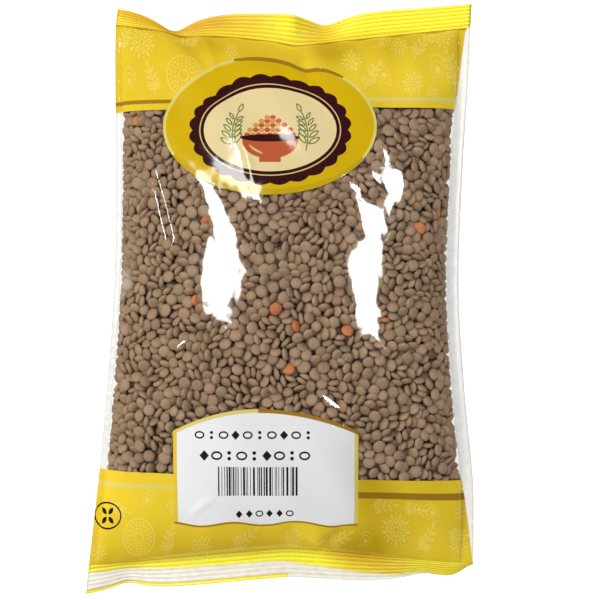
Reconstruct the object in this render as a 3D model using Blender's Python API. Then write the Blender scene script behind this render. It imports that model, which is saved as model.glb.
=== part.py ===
# A sealed clear bag of dry lentils that lies on its back, with the printed front up.
# X runs across the bag, Y towards its top seal and Z up. The origin is on the ground, under its middle.
# The film is laid out flat as two sheets of triangles with one rim, front and back. Each sheet is then
# wrapped to the shape that the filling gives it, and the two rims are merged into one closed body.
# All sizes are in metres.

import math
import random

import bmesh
import bpy
import numpy as np
from mathutils import Vector
from mathutils.geometry import delaunay_2d_cdt

# Flat film: half its width, and where the seals begin and end along it
FILM_HALF = 0.084
TOP_SEAL, TOP_END = 0.1100, 0.1238
BOTTOM_SEAL, BOTTOM_END = -0.1083, -0.1203

# Outline seen from the front: place along the bag, reach to the left and reach to the right
OUTLINE = (
    (-0.128, 0.0845, 0.0838),
    (-0.110, 0.0826, 0.0838),
    (-0.080, 0.0780, 0.0835),
    (-0.040, 0.0742, 0.0797),
    (0.005, 0.0709, 0.0772),
    (0.055, 0.0701, 0.0789),
    (0.100, 0.0707, 0.0820),
    (0.128, 0.0704, 0.0840),
)

# Filling: heights of the crown and of the side line, and how full the ends and sides are
CROWN = 0.0470
SIDE_LINE = 0.0200
SEAL_HEIGHT = 0.0145
END_FULLNESS, END_ROUND = 2.7, 1.65
SIDE_FULLNESS = 2.25
REST_LENGTH_HALF = 0.082
REST_WIDTH = 0.62

# Empty lips of film beyond the filling at both sides, and half their wall
LIP_LEFT, LIP_RIGHT = 0.0029, 0.0056
LIP_WALL = 0.0005

# Seals: wall, crimp ribs and true width
SEAL_WALL = 0.0010
RIM_TAPER = 40
RIBS, RIB_HEIGHT = 5, 0.0003
RIB_ROWS = 2
TOP_SEAL_WIDTH, BOTTOM_SEAL_WIDTH = 0.0130, 0.0127

# The line where a seal begins: where it is nearest to the filling, and how it runs out to the sides
TOP_MIDDLE, TOP_SLOPE = 0.0120, 0.105
BOTTOM_MIDDLE, BOTTOM_SLOPE = 0.0040, 0.092
TOP_END_BOW = 0.0042
BEND = 0.005
SEAL_RAMP = 0.030

# Pleats that shorten a seal or pull its line: place across, depth and width
TOP_PLEATS = ((-0.0460, 0.0085, 0.0078), (0.0200, 0.0051, 0.0075))
TOP_LINE_PLEATS = ((-0.0410, 0.0018, 0.0060), (0.0068, 0.0010, 0.0040))
BOTTOM_PLEATS = ((-0.0660, 0.0030, 0.0060), (0.0640, 0.0056, 0.0140), (0.0850, 0.0098, 0.0050))
PLEAT_LEAN = 0.75

# Puckers that run from a seal into the body
PUCKER_HEIGHT, PUCKER_PITCH, PUCKER_LENGTH = 0.0009, 0.031, 0.020

# Print on the front
HEADER_EDGE = 0.0815
FOOTER_EDGE, FOOTER_SLOPE = -0.0755, -0.030
OVAL_CENTRE, OVAL_HALF = (-0.0039, 0.0735), (0.0460, 0.0297)
LABEL_LEFT, LABEL_RIGHT = -0.0447, 0.0344
LABEL_BOTTOM, LABEL_SHOULDER, LABEL_APEX = -0.0965, -0.0565, -0.0475

# Lentils that show through the film as bumps
LENTIL = 0.0050
BUMP_HEIGHT, BUMP_SPREAD = 0.0010, 0.0003
BUMP_CLEAR = 0.0023
JITTER = 0.0003
SEED = 7

# Spacing of the mesh
COARSE = 0.0085
SEAL_COLUMNS = 28
SIDE_ROWS = 48
OUTLINE_STEP = 0.0030
CLEAR_OF_LINES = 0.0013
CORNER_INSET = 0.0005
REST_COLUMNS, REST_ROWS = 4, 5
TURN_ANGLES = (0, 25, 45, 62, 76)
STEP = 1e-4

COLOURS = {
    "lentils": ((0.22, 0.14, 0.09), 0.45),
    "yellow_print": ((0.80, 0.52, 0.03), 0.35),
    "oval_print": ((0.69, 0.44, 0.01), 0.35),
    "label_print": ((0.76, 0.76, 0.76), 0.40),
}


def clamp(value, low=0.0, high=1.0):
    return max(low, min(high, value))


def smooth(t):
    t = clamp(t)
    return t * t * (3 - 2 * t)


def blend(a, b, t):
    return a + (b - a) * t


def reach(v, side):
    """The outline's distance from the middle at v, by cubic curves through the outline's stations."""
    stations = OUTLINE
    last = len(stations) - 2
    i = sum(1 for row in stations[1:-1] if row[0] < v)
    before = stations[max(i - 1, 0)]
    start, end = stations[i], stations[i + 1]
    after = stations[min(i + 2, last + 1)]
    span = end[0] - start[0]
    t = clamp((v - start[0]) / span)
    leave = (end[side] - before[side]) / (end[0] - before[0]) * span
    arrive = (after[side] - start[side]) / (after[0] - start[0]) * span
    rise = end[side] - start[side]
    a = leave + arrive - 2 * rise
    b = 3 * rise - 2 * leave - arrive
    return ((a * t + b) * t + leave) * t + start[side]


def fullness(v):
    """From 0 at the seals to 1 at the middle of the bag's length."""
    middle = (TOP_SEAL + BOTTOM_SEAL) / 2
    half = (TOP_SEAL - BOTTOM_SEAL) / 2
    t = clamp(abs(v - middle) / half)
    return (1 - t**END_FULLNESS) ** (1 / END_ROUND)


def section_table():
    """Film length along the front's section, against the place across it."""
    u = np.sin(np.linspace(0, math.pi / 2, 400))
    x = u * (FILM_HALF - 0.008)
    z = (CROWN - SIDE_LINE) * (1 - u**SIDE_FULLNESS) ** (1 / SIDE_FULLNESS)
    length = np.concatenate([[0], np.cumsum(np.hypot(np.diff(x), np.diff(z)))])
    return u, length / length[-1]


ACROSS, ALONG_FILM = section_table()


def filled(side):
    """The share of the half width that is filled, up to the lip, on the left (below 0) or the right."""
    return 1 - (LIP_LEFT if side < 0 else LIP_RIGHT) / FILM_HALF


def across(s, v):
    """The place across the outline, -1 to 1, of a point of the film at s, -1 to 1."""
    edge = filled(s)
    if abs(s) >= edge:
        return s
    laid = float(np.interp(abs(s) / edge, ALONG_FILM, ACROSS)) * edge
    return math.copysign(blend(abs(s), laid, fullness(v)), s)


def film_at(u, v):
    """The point of the flat film that lies at u across the outline, -1 to 1, once it is wrapped."""
    spread = np.linspace(0, 1, 101)
    places = [abs(across(math.copysign(s, u), v)) for s in spread]
    return math.copysign(float(np.interp(abs(u), places, spread)), u) * FILM_HALF, v


def film_place(x, v):
    left, right = reach(v, 1), reach(v, 2)
    return film_at((x - (right - left) / 2) / ((right + left) / 2), v)


def rounded(distance):
    """The size of a distance, rounded off close to 0."""
    return math.hypot(distance, BEND) - BEND


def pleat(x, pleats):
    return sum(depth * math.exp(-rounded(x - place) / width) for place, depth, width in pleats)


def seal_line(x, top):
    """Where the seal begins, along the bag."""
    if top:
        return TOP_SEAL + TOP_SLOPE * rounded(x - TOP_MIDDLE) - pleat(x, TOP_LINE_PLEATS)
    return BOTTOM_SEAL - BOTTOM_SLOPE * rounded(x - BOTTOM_MIDDLE)


def seal_end(x, top):
    """The seal's outer edge, along the bag."""
    if top:
        return TOP_END + TOP_END_BOW * (x / FILM_HALF) ** 2 - pleat(x, TOP_PLEATS)
    return seal_line(x, False) - BOTTOM_SEAL_WIDTH + pleat(x, BOTTOM_PLEATS)


def seal_share(v):
    """0 at the start of a seal and below, 1 at its outer edge."""
    if v > 0:
        return clamp((v - TOP_SEAL) / (TOP_END - TOP_SEAL))
    return clamp((v - BOTTOM_SEAL) / (BOTTOM_END - BOTTOM_SEAL))


def place_along(x, v):
    top = v > 0
    share = seal_share(v)
    start = seal_line(x, top)
    if share > 0:
        return blend(start, seal_end(x, top), share)
    seal = TOP_SEAL if top else BOTTOM_SEAL
    return v + (start - seal) * smooth(1 - abs(seal - v) / SEAL_RAMP)


def lean(x, v):
    """How far a seal drops where a pleat shortens it."""
    top = v > 0
    width = TOP_SEAL_WIDTH if top else BOTTOM_SEAL_WIDTH
    shown = min(abs(seal_end(x, top) - seal_line(x, top)), width)
    return PLEAT_LEAN * math.sqrt(width**2 - shown**2) * seal_share(v)


def ribs(v):
    return RIB_HEIGHT * math.sin(2 * math.pi * RIBS * seal_share(v))


def puckers(x, v):
    seal = TOP_SEAL if v > 0 else BOTTOM_SEAL
    inside = abs(seal - v) / PUCKER_LENGTH
    swell = inside * math.exp(1 - inside) if seal_share(v) == 0 else 0
    return PUCKER_HEIGHT * swell * math.cos(2 * math.pi * x / PUCKER_PITCH + 3 * v / PUCKER_LENGTH)


def wrapped(s, v, front):
    """The point in space of the film's point at s and v, on the front or on the back."""
    left, right = reach(v, 1), reach(v, 2)
    full = fullness(v)
    u = across(s, v)
    x = (right - left) / 2 + u * (right + left) / 2
    y = place_along(x, v)
    mid = SEAL_HEIGHT - lean(x, v) + ribs(v)
    side = blend(mid, SIDE_LINE, full)
    thin = clamp(RIM_TAPER * (1 - abs(s))) * clamp(8 * (1 - seal_share(v)))
    wall = blend(SEAL_WALL / 2, LIP_WALL, full) * thin
    inside = min(abs(u) / filled(s), 1)
    if front:
        top = blend(mid, CROWN, full)
        dome = (1 - inside**SIDE_FULLNESS) ** (1 / SIDE_FULLNESS)
        z = side + (top - side) * dome + puckers(x, v) * dome + wall
        return Vector((x, y, z))
    seal_reach = abs(TOP_SEAL if v > 0 else BOTTOM_SEAL) - REST_LENGTH_HALF
    end_turn = clamp((abs(v) - REST_LENGTH_HALF) / seal_reach)
    floor = (mid - wall) * (1 - math.sqrt(1 - end_turn**2))
    side_turn = clamp((inside - REST_WIDTH) / (1 - REST_WIDTH))
    z = floor + (side - wall - floor) * (1 - math.sqrt(1 - side_turn**2))
    return Vector((x, y, z if seal_share(v) == 0 else mid - wall))


def rows_of_seal(start, end):
    count = RIBS * RIB_ROWS
    return [blend(start, end, i / count) for i in range(count + 1)]


def seal_grid():
    """Points of the flat film in both seals, rims and seal lines included."""
    rows = rows_of_seal(BOTTOM_SEAL, BOTTOM_END) + rows_of_seal(TOP_SEAL, TOP_END)
    columns = [FILM_HALF * (2 * i / SEAL_COLUMNS - 1) for i in range(SEAL_COLUMNS + 1)]
    ends = (TOP_END - CORNER_INSET, BOTTOM_END + CORNER_INSET)
    corners = [(side * (FILM_HALF - 2 * CORNER_INSET), v) for side in (-1, 1) for v in ends]
    return [(x, v) for v in rows for x in columns] + corners


def side_rows():
    step = (TOP_SEAL - BOTTOM_SEAL) / SIDE_ROWS
    return [BOTTOM_SEAL + step * i for i in range(1, SIDE_ROWS)]


def side_rims():
    return [(side * FILM_HALF, v) for side in (-1, 1) for v in side_rows()]


def oval_line():
    count = round(2 * math.pi * 0.038 / OUTLINE_STEP)
    turns = [2 * math.pi * i / count for i in range(count)]
    points = [
        (OVAL_CENTRE[0] + OVAL_HALF[0] * math.cos(a), OVAL_CENTRE[1] + OVAL_HALF[1] * math.sin(a))
        for a in turns
    ]
    return points + points[:1]


def label_top(x):
    middle = (LABEL_LEFT + LABEL_RIGHT) / 2
    t = (x - middle) / (LABEL_RIGHT - middle)
    return LABEL_SHOULDER + (LABEL_APEX - LABEL_SHOULDER) * (1 - t * t)


def straight(a, b):
    count = max(1, round(math.dist(a, b) / OUTLINE_STEP))
    return [(blend(a[0], b[0], i / count), blend(a[1], b[1], i / count)) for i in range(count + 1)]


def label_line():
    across_top = straight((LABEL_RIGHT, 0), (LABEL_LEFT, 0))
    arch = [(x, label_top(x)) for x, _ in across_top]
    left = straight(arch[-1], (LABEL_LEFT, LABEL_BOTTOM))
    bottom = straight((LABEL_LEFT, LABEL_BOTTOM), (LABEL_RIGHT, LABEL_BOTTOM))
    right = straight((LABEL_RIGHT, LABEL_BOTTOM), arch[0])
    return arch + left[1:] + bottom[1:] + right[1:]


def footer_edge(x):
    return FOOTER_EDGE + FOOTER_SLOPE * x


def band_lines():
    """The straight edges of the header and the footer, from lip to lip."""
    left, right = (side * (FILM_HALF * filled(side) - CLEAR_OF_LINES) for side in (-1, 1))
    header = straight((left, HEADER_EDGE), (right, HEADER_EDGE))
    footer = [(x, footer_edge(x)) for x, _ in straight((left, 0), (right, 0))]
    return [header, footer]


def region(x, v):
    """The print at a point of the front, by its place across and along."""
    inside = (x - OVAL_CENTRE[0]) ** 2 / OVAL_HALF[0] ** 2 + (v - OVAL_CENTRE[1]) ** 2 / OVAL_HALF[1] ** 2
    if inside < 1:
        return "oval_print"
    if LABEL_LEFT < x < LABEL_RIGHT and LABEL_BOTTOM < v < label_top(x):
        return "label_print"
    if v > HEADER_EDGE or v < footer_edge(x):
        return "yellow_print"
    return "lentils"


def region_of_film(a, v):
    """The print at a point of the flat film; the right lip is bare from seal to seal."""
    if a > FILM_HALF * filled(a) and BOTTOM_SEAL < v < TOP_SEAL:
        return "lentils"
    left, right = reach(v, 1), reach(v, 2)
    u = across(a / FILM_HALF, v)
    return region((right - left) / 2 + u * (right + left) / 2, v)


def lip_line(side):
    """Points where the lip begins, on the left (below 0) or the right."""
    return [(side * FILM_HALF * filled(side), v) for v in side_rows()]


def lattice(spacing):
    """Points of a triangular lattice over the film between the seals, with their two lattice numbers."""
    rise = spacing * math.sqrt(3) / 2
    rows = int((TOP_SEAL - BOTTOM_SEAL) / rise)
    columns = int(2 * FILM_HALF / spacing)
    middle = (TOP_SEAL + BOTTOM_SEAL) / 2
    for n in range(-rows // 2, rows // 2 + 1):
        for c in range(-columns // 2 - 1, columns // 2 + 2):
            m = c - n // 2
            yield (spacing * (m + n / 2), middle + rise * n), m, n


def inside_film(a, v, margin):
    return abs(a) < FILM_HALF - margin and BOTTOM_SEAL + margin < v < TOP_SEAL - margin


def chain(points, coords, edges, closed=False):
    """Adds a line of points to the flat sheet and keeps its edges."""
    first = len(coords)
    coords.extend(points)
    edges.extend((first + i, first + i + 1) for i in range(len(points) - 1))
    if closed:
        coords.pop()
        edges[-1] = (edges[-1][0], first)


def front_sheet():
    """The front film laid flat: points, edges to keep, and the height of the bump at each point."""
    draw = random.Random(SEED)
    coords, edges = [], []
    chain([film_place(x, v) for x, v in oval_line()], coords, edges, closed=True)
    chain([film_place(x, v) for x, v in label_line()], coords, edges, closed=True)
    for line in band_lines():
        free = [p for p in line if region_of_film(*p) not in ("oval_print", "label_print")]
        clear = [p for p in free if min(math.dist(p, q) for q in coords) > CLEAR_OF_LINES]
        coords.extend(clear)
    for side in (-1, 1):
        chain(lip_line(side), coords, edges)
    lines = np.array(coords)
    coords.extend(seal_grid() + side_rims())
    bumps = [0.0] * len(coords)

    def add(point, height):
        apart = np.hypot(lines[:, 0] - point[0], lines[:, 1] - point[1]).min()
        if apart > CLEAR_OF_LINES:
            coords.append(point)
            bumps.append(height if apart > BUMP_CLEAR else 0.0)

    for (a, v), m, n in lattice(LENTIL / math.sqrt(3)):
        shift = (draw.uniform(-JITTER, JITTER), draw.uniform(-JITTER, JITTER))
        height = BUMP_HEIGHT + draw.uniform(-BUMP_SPREAD, BUMP_SPREAD)
        beside = abs(a) < FILM_HALF * filled(a)
        if beside and inside_film(a, v, CLEAR_OF_LINES) and region_of_film(a, v) == "lentils":
            add((a + shift[0], v + shift[1]), height if (m - n) % 3 == 0 else 0.0)
    for (a, v), _, _ in lattice(COARSE):
        if inside_film(a, v, COARSE / 3) and region_of_film(a, v) != "lentils":
            add((a, v), 0.0)
    return coords, edges, bumps


def back_sheet():
    coords, edges = [], []
    for side in (-1, 1):
        chain(lip_line(side), coords, edges)
    coords += seal_grid() + side_rims()
    sines = [math.sin(math.radians(a)) for a in TURN_ANGLES]
    flat = [REST_WIDTH * i / REST_COLUMNS for i in range(REST_COLUMNS)]
    turn = [REST_WIDTH + (1 - REST_WIDTH) * sine for sine in sines]
    rows = [REST_LENGTH_HALF * i / REST_ROWS for i in range(REST_ROWS)]
    rows += [REST_LENGTH_HALF + (-BOTTOM_SEAL - REST_LENGTH_HALF) * sine for sine in sines]
    fine_rows = [v for v in side_rows() if abs(v) < rows[-2]]
    inner_rows = sorted({sign * v for v in rows[:-2] for sign in (-1, 1)})
    inner = {side * filled(side) * u for u in flat + turn[:-2] for side in (-1, 1)}
    coords += [film_at(u, v) for u in sorted(inner) for v in inner_rows]
    outer = [side * filled(side) * u for u in turn[-2:] for side in (-1, 1)]
    coords += [film_at(u, v) for u in outer for v in fine_rows]
    columns = [FILM_HALF * (2 * i / SEAL_COLUMNS - 1) for i in range(1, SEAL_COLUMNS)]
    coords += [(a, side * v) for v in rows[-2:] for side in (-1, 1) for a in columns]
    return coords, edges, [0.0] * len(coords)


def triangulated(coords, edges):
    flat = [Vector(p) for p in coords]
    points, _, faces, sources, _, _ = delaunay_2d_cdt(flat, edges, [], 0, 1e-7)
    return points, faces, [ids[0] if ids else None for ids in sources]


def add_sheet(mesh, sheet, front, names):
    """Triangulates a flat sheet, wraps it to its place in space and adds it to the mesh."""
    coords, edges, bumps = sheet
    points, faces, sources = triangulated(coords, edges)
    verts = []
    for point, source in zip(points, sources):
        a, v = point if source is None else coords[source]
        s = a / FILM_HALF
        place = wrapped(s, v, front)
        height = 0.0 if source is None else bumps[source]
        if height:
            along = wrapped(s, v + STEP, front) - wrapped(s, v - STEP, front)
            aside = wrapped(s + STEP, v, front) - wrapped(s - STEP, v, front)
            place += aside.cross(along).normalized() * height
        verts.append(mesh.verts.new(place))
    for face in faces:
        middle = sum((points[i] for i in face), Vector((0, 0))) / 3
        order = face if front else list(reversed(face))
        made = mesh.faces.new([verts[i] for i in order])
        made.material_index = names.index(region_of_film(middle.x, middle.y) if front else "lentils")


def material(name):
    colour, roughness = COLOURS[name]
    made = bpy.data.materials.new(name)
    made.use_nodes = True
    made.diffuse_color = (*colour, 1)
    shader = made.node_tree.nodes["Principled BSDF"]
    shader.inputs["Base Color"].default_value = (*colour, 1)
    shader.inputs["Roughness"].default_value = roughness
    shader.inputs["Metallic"].default_value = 0.0
    return made


def bag(collection):
    names = list(COLOURS)
    mesh = bmesh.new()
    add_sheet(mesh, front_sheet(), True, names)
    add_sheet(mesh, back_sheet(), False, names)
    bmesh.ops.remove_doubles(mesh, verts=mesh.verts[:], dist=1e-6)
    data = bpy.data.meshes.new("lentil_bag")
    mesh.to_mesh(data)
    mesh.free()
    for name in names:
        data.materials.append(material(name))
    made = bpy.data.objects.new("lentil_bag", data)
    collection.objects.link(made)
    return made


def main():
    for old in list(bpy.data.objects):
        bpy.data.objects.remove(old)
    collection = bpy.data.collections.new("bag_of_lentils")
    bpy.context.scene.collection.children.link(collection)
    bag(collection)


main()
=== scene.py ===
# The looks of a sealed clear bag of dry lentils, lying on its back with the printed front up.
# The imported solid gives the frame. One film with its print, the lentils in it and a dark core, whose
# darkness is painted shade, replace it.
# All sizes are in metres. The print is drawn in x across the bag and v along its flat film.
import math

import bmesh
import bpy
import numpy as np
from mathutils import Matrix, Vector, kdtree
from mathutils.geometry import delaunay_2d_cdt


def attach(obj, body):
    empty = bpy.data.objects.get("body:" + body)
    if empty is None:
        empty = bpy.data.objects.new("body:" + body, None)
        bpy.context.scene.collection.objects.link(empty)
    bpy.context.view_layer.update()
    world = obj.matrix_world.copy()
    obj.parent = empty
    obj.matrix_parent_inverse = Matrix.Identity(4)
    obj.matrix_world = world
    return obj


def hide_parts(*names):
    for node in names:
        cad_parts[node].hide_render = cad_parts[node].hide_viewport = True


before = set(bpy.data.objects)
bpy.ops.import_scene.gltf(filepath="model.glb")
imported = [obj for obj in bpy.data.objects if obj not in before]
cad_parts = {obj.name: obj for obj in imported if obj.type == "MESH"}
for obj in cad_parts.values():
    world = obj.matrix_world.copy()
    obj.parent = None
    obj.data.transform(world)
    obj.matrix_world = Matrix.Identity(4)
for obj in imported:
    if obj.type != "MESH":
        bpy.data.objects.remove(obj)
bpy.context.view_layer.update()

NODE = "lentil_bag"
DRAW = np.random.default_rng(11)

# Flat film: half its width, and where the seals begin and end along it
FILM_HALF = 0.084
TOP_SEAL, TOP_END = 0.1100, 0.1238
BOTTOM_SEAL, BOTTOM_END = -0.1083, -0.1203

# Outline seen from the front: place along the bag, reach to the left and reach to the right
OUTLINE = np.array((
    (-0.128, 0.0845, 0.0838),
    (-0.110, 0.0826, 0.0838),
    (-0.080, 0.0780, 0.0835),
    (-0.040, 0.0742, 0.0797),
    (0.005, 0.0709, 0.0772),
    (0.055, 0.0701, 0.0789),
    (0.100, 0.0707, 0.0820),
    (0.128, 0.0704, 0.0840),
))

# Filling: heights of the crown and of the side line, and how full the ends and sides are
CROWN, SIDE_LINE, SEAL_HEIGHT = 0.0470, 0.0200, 0.0145
END_FULLNESS, END_ROUND, SIDE_FULLNESS = 2.7, 1.65, 2.25
REST_LENGTH_HALF, REST_WIDTH = 0.082, 0.62

# Empty lips of film beyond the filling at both sides, and half their wall
LIP_LEFT, LIP_RIGHT = 0.0029, 0.0056
LIP_WALL, RIM_TAPER = 0.0003, 40

# Seals: wall, crimp ribs, the line where each begins, and the pleats in both
SEAL_WALL = 0.0008
RIBS, RIB_HEIGHT = 6.5, 0.00036
TOP_SEAL_WIDTH, BOTTOM_SEAL_WIDTH = 0.0130, 0.0127
TOP_MIDDLE, TOP_SLOPE = 0.0120, 0.105
BOTTOM_MIDDLE, BOTTOM_SLOPE = 0.0040, 0.092
TOP_END_BOW, BEND, SEAL_RAMP = 0.0042, 0.005, 0.030
TOP_PLEATS = ((-0.0460, 0.0085, 0.0078), (0.0200, 0.0051, 0.0075))
TOP_LINE_PLEATS = ((-0.0410, 0.0018, 0.0060), (0.0068, 0.0010, 0.0040))
BOTTOM_PLEATS = ((-0.0660, 0.0030, 0.0060), (0.0640, 0.0056, 0.0140), (0.0850, 0.0098, 0.0050))
PLEAT_LEAN = 0.75
PUCKER_HEIGHT, PUCKER_PITCH, PUCKER_LENGTH = 0.0009, 0.031, 0.020

# Creases of the front film: points across and along, height (a valley is negative) and width
CREASES = (
    (((-0.0480, 0.1130), (-0.0370, 0.1040), (-0.0270, 0.0950)), -0.0014, 0.0032),
    (((-0.0330, 0.1100), (-0.0300, 0.1020), (-0.0260, 0.0930)), 0.0010, 0.0026),
    (((0.0110, 0.1080), (0.0100, 0.1010), (0.0140, 0.0900)), -0.0014, 0.0030),
    (((0.0260, 0.1100), (0.0330, 0.1010), (0.0360, 0.0900)), 0.0009, 0.0028),
    (((0.0480, 0.1120), (0.0520, 0.1000), (0.0500, 0.0880)), -0.0007, 0.0040),
    (((-0.0230, 0.0760), (-0.0176, 0.0710), (-0.0133, 0.0610), (-0.0110, 0.0500)), 0.0008, 0.0020),
    (((-0.0620, 0.0730), (-0.0560, 0.0560), (-0.0525, 0.0430), (-0.0480, 0.0250), (-0.0560, 0.0060)),
     0.0022, 0.0034),
    (((0.0168, -0.1080), (0.0100, -0.1035), (0.0030, -0.0980)), -0.0021, 0.0024),
    (((0.0168, -0.1080), (0.0220, -0.1025), (0.0275, -0.0975)), -0.0021, 0.0024),
    (((-0.0495, -0.0460), (-0.0580, -0.0610), (-0.0654, -0.0748)), 0.0016, 0.0024),
    (((-0.0473, -0.0632), (-0.0540, -0.0690), (-0.0593, -0.0745)), 0.0014, 0.0022),
    (((-0.0413, -0.0190), (-0.0500, -0.0295)), 0.0011, 0.0020),
    (((0.0155, -0.0405), (0.0265, -0.0485)), 0.0009, 0.0018),
    (((-0.0375, -0.0915), (-0.0325, -0.0875), (-0.0275, -0.0850)), 0.0008, 0.0018),
)
CREASE_STEP = 0.0006

# Print on the film
HEADER_EDGE, HEADER_SLOPE = 0.0802, 0.008
FOOTER_EDGE, FOOTER_SLOPE = -0.0758, -0.030
LINE_WIDTH, LINE_INSET = 0.0015, 0.0027
FOOTER_LINE_INSET, FOOTER_LINE_WIDTH = 0.0052, 0.0025
OVAL_CENTRE, OVAL_HALF, OVAL_RIM = (-0.0038, 0.0724), (0.0452, 0.0292), 0.0012
MEDALLION_CENTRE, MEDALLION_HALF = (-0.0036, 0.0708), (0.0328, 0.0226)
LABEL_LEFT, LABEL_RIGHT, LABEL_MIDDLE = -0.0445, 0.0336, -0.0085
LABEL_BOTTOM, LABEL_SHOULDER, LABEL_APEX = -0.0953, -0.0560, -0.0466
LABEL_RIM = 0.0016
LABEL_WAVE, LABEL_WAVE_LENGTH, LABEL_WAVE_PLACE = 0.0008, 0.0275, -0.0056
LABEL_RISE, LABEL_RISE_FROM = 0.045, -0.012
ORNAMENT_LINE = 0.00042
PRINT_STEP = 0.0012

# Where the creases pull the print along the bag: place, reach across and along, and shift
PULLS = (
    (-0.0290, 0.0885, 0.0085, 0.0055, -0.0017),
    (0.0115, 0.0990, 0.0060, 0.0060, -0.0015),
)

# Painted shade and painted light on the print, where folds and the way the light falls make it darker or
# lighter: place, reach across and along, and change
PAINTED_LIGHT_AND_SHADE = (
    (-0.0620, 0.0960, 0.0220, 0.0200, -0.06),
    (-0.0300, 0.1055, 0.0140, 0.0060, -0.28),
    (-0.0050, 0.1030, 0.0200, 0.0050, -0.15),
    (0.0220, 0.1045, 0.0080, 0.0050, -0.50),
    (0.0470, 0.1060, 0.0180, 0.0070, -0.30),
    (0.0620, 0.0900, 0.0200, 0.0100, 0.20),
    (-0.0660, -0.0790, 0.0250, 0.0070, 0.35),
    (-0.0220, -0.1060, 0.0400, 0.0070, -0.26),
    (0.0120, -0.1010, 0.0050, 0.0050, 0.45),
    (0.0370, -0.1060, 0.0140, 0.0080, -0.40),
    (0.0620, -0.1000, 0.0250, 0.0200, 0.08),
    (0.0620, 0.1200, 0.0400, 0.0080, 0.60),
    (0.0020, 0.1200, 0.0110, 0.0080, 0.22),
    (0.0190, 0.1200, 0.0110, 0.0080, -0.45),
    (-0.0400, 0.1200, 0.0320, 0.0080, -0.62),
    (-0.0250, -0.1140, 0.0450, 0.0040, 0.90),
    (-0.0680, -0.1140, 0.0100, 0.0040, -0.40),
    (0.0600, -0.1140, 0.0250, 0.0040, -0.15),
    (0.0400, -0.0720, 0.0140, 0.0400, -0.45),
    (-0.0400, -0.0700, 0.0300, 0.0300, 0.25),
)

# The fold further in from the left where bare film gets a whitish veil as painted sheen: its place, its reach
# across and along
SHEEN_FOLD, SHEEN_ACROSS, SHEEN_ALONG = 0.0060, 0.0170, 0.0085

# Lentils: size, spread of sizes, and how they are packed against the film
LENTIL_RADIUS, LENTIL_THICKNESS = 0.00262, 0.00232
RADIUS_SPREAD, THICKNESS_SPREAD = 0.055, 0.07
ROUND = 0.324
LAYER_DEPTH, FILL_SHARE = 0.0070, 0.68
FILL_TOP, FILL_BOTTOM = 0.0835, -0.0810
FILM_GAP = 0.00012
FLATTEN = (0.40, 0.40, 1.0)
SETTLE_ROUNDS, PAIRS_EVERY, PAIR_REACH = 100, 6, 2.5
PUSH, TWIST, LIFT, PRESS = 0.30, 0.45, 0.9, 0.00004
UPPER_DEPTH, LOWER_DEPTH = 0.0017, 0.0046

# Seeds are left out where print covers them: how far inside an end's edge and inside a panel's
COVERED_END, COVERED_PANEL = 0.0028, 0.008

# Dark core, as painted shade between the seeds: its distance from the seals and the film, its middle, and its
# rows and columns
CORE_END, CORE_DEPTH, CORE_MIDDLE, CORE_FLOOR = 0.006, 0.0062, (0.002, 0.0165), 0.0008
CORE_ROWS, CORE_COLUMNS = 60, 120

# Where hulled orange ones show on the front
ORANGE_PLACES = (
    (-0.0323, 0.0340), (-0.0357, -0.0039), (-0.0004, -0.0060), (0.0026, -0.0314), (0.0090, -0.0120),
    (0.0262, -0.0120), (0.0576, 0.0310), (0.0671, 0.0374), (0.0426, -0.0086), (-0.0602, 0.0740),
)

# Spacing of the film's mesh, its sag between seeds, and how its relief fades at the sides and seals
FILM_STEP, BACK_STEP, RIM_GAP = 0.00095, 0.0022, 0.0004
SAG, SIDE_FADE, SEAL_FADE = 0.00005, 0.06, 0.003


# Small helpers

def blend(a, b, t):
    return a + (b - a) * t


def smooth(t):
    t = np.clip(t, 0, 1)
    return t * t * (3 - 2 * t)


def unit(rows):
    return rows / np.maximum(np.linalg.norm(rows, axis=-1, keepdims=True), 1e-12)


def mesh_object(name, points, triangles):
    mesh = bpy.data.meshes.new(name)
    points = np.ascontiguousarray(points, dtype=np.float32)
    triangles = np.ascontiguousarray(triangles, dtype=np.int32)
    mesh.vertices.add(len(points))
    mesh.vertices.foreach_set("co", points.ravel())
    mesh.loops.add(triangles.size)
    mesh.loops.foreach_set("vertex_index", triangles.ravel())
    mesh.polygons.add(len(triangles))
    mesh.polygons.foreach_set("loop_start", np.arange(0, triangles.size, 3, dtype=np.int32))
    mesh.update(calc_edges=True)
    mesh.validate()
    mesh.shade_smooth()
    made = bpy.data.objects.new(name, mesh)
    bpy.context.scene.collection.objects.link(made)
    return made


def set_tone(made, values):
    """A tone for each point of a mesh, which its materials read: a random tone on the seeds, painted shade and
    painted light on the film.
    """
    tone = made.data.attributes.new("tone", "FLOAT", "POINT")
    tone.data.foreach_set("value", values.astype(np.float32))


def tree_of(points):
    tree = kdtree.KDTree(len(points))
    for i, p in enumerate(points):
        tree.insert(p, i)
    tree.balance()
    return tree


def part_of_bag(made):
    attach(made, "root")
    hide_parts(NODE)


# The bag's form

def reach(v, side):
    """The outline's distance from the middle at v, by cubic curves through the outline's stations."""
    v = np.asarray(v, float)
    last = len(OUTLINE) - 2
    i = np.clip(np.searchsorted(OUTLINE[:, 0], v) - 1, 0, last)
    before, start = OUTLINE[np.maximum(i - 1, 0)], OUTLINE[i]
    end, after = OUTLINE[i + 1], OUTLINE[np.minimum(i + 2, last + 1)]
    span = end[..., 0] - start[..., 0]
    t = np.clip((v - start[..., 0]) / span, 0, 1)
    leave = (end[..., side] - before[..., side]) / (end[..., 0] - before[..., 0]) * span
    arrive = (after[..., side] - start[..., side]) / (after[..., 0] - start[..., 0]) * span
    rise = end[..., side] - start[..., side]
    a = leave + arrive - 2 * rise
    b = 3 * rise - 2 * leave - arrive
    return ((a * t + b) * t + leave) * t + start[..., side]


def outline(v):
    """The middle and the half width of the bag's outline at v."""
    left, right = reach(v, 1), reach(v, 2)
    return (right - left) / 2, (right + left) / 2


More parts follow.
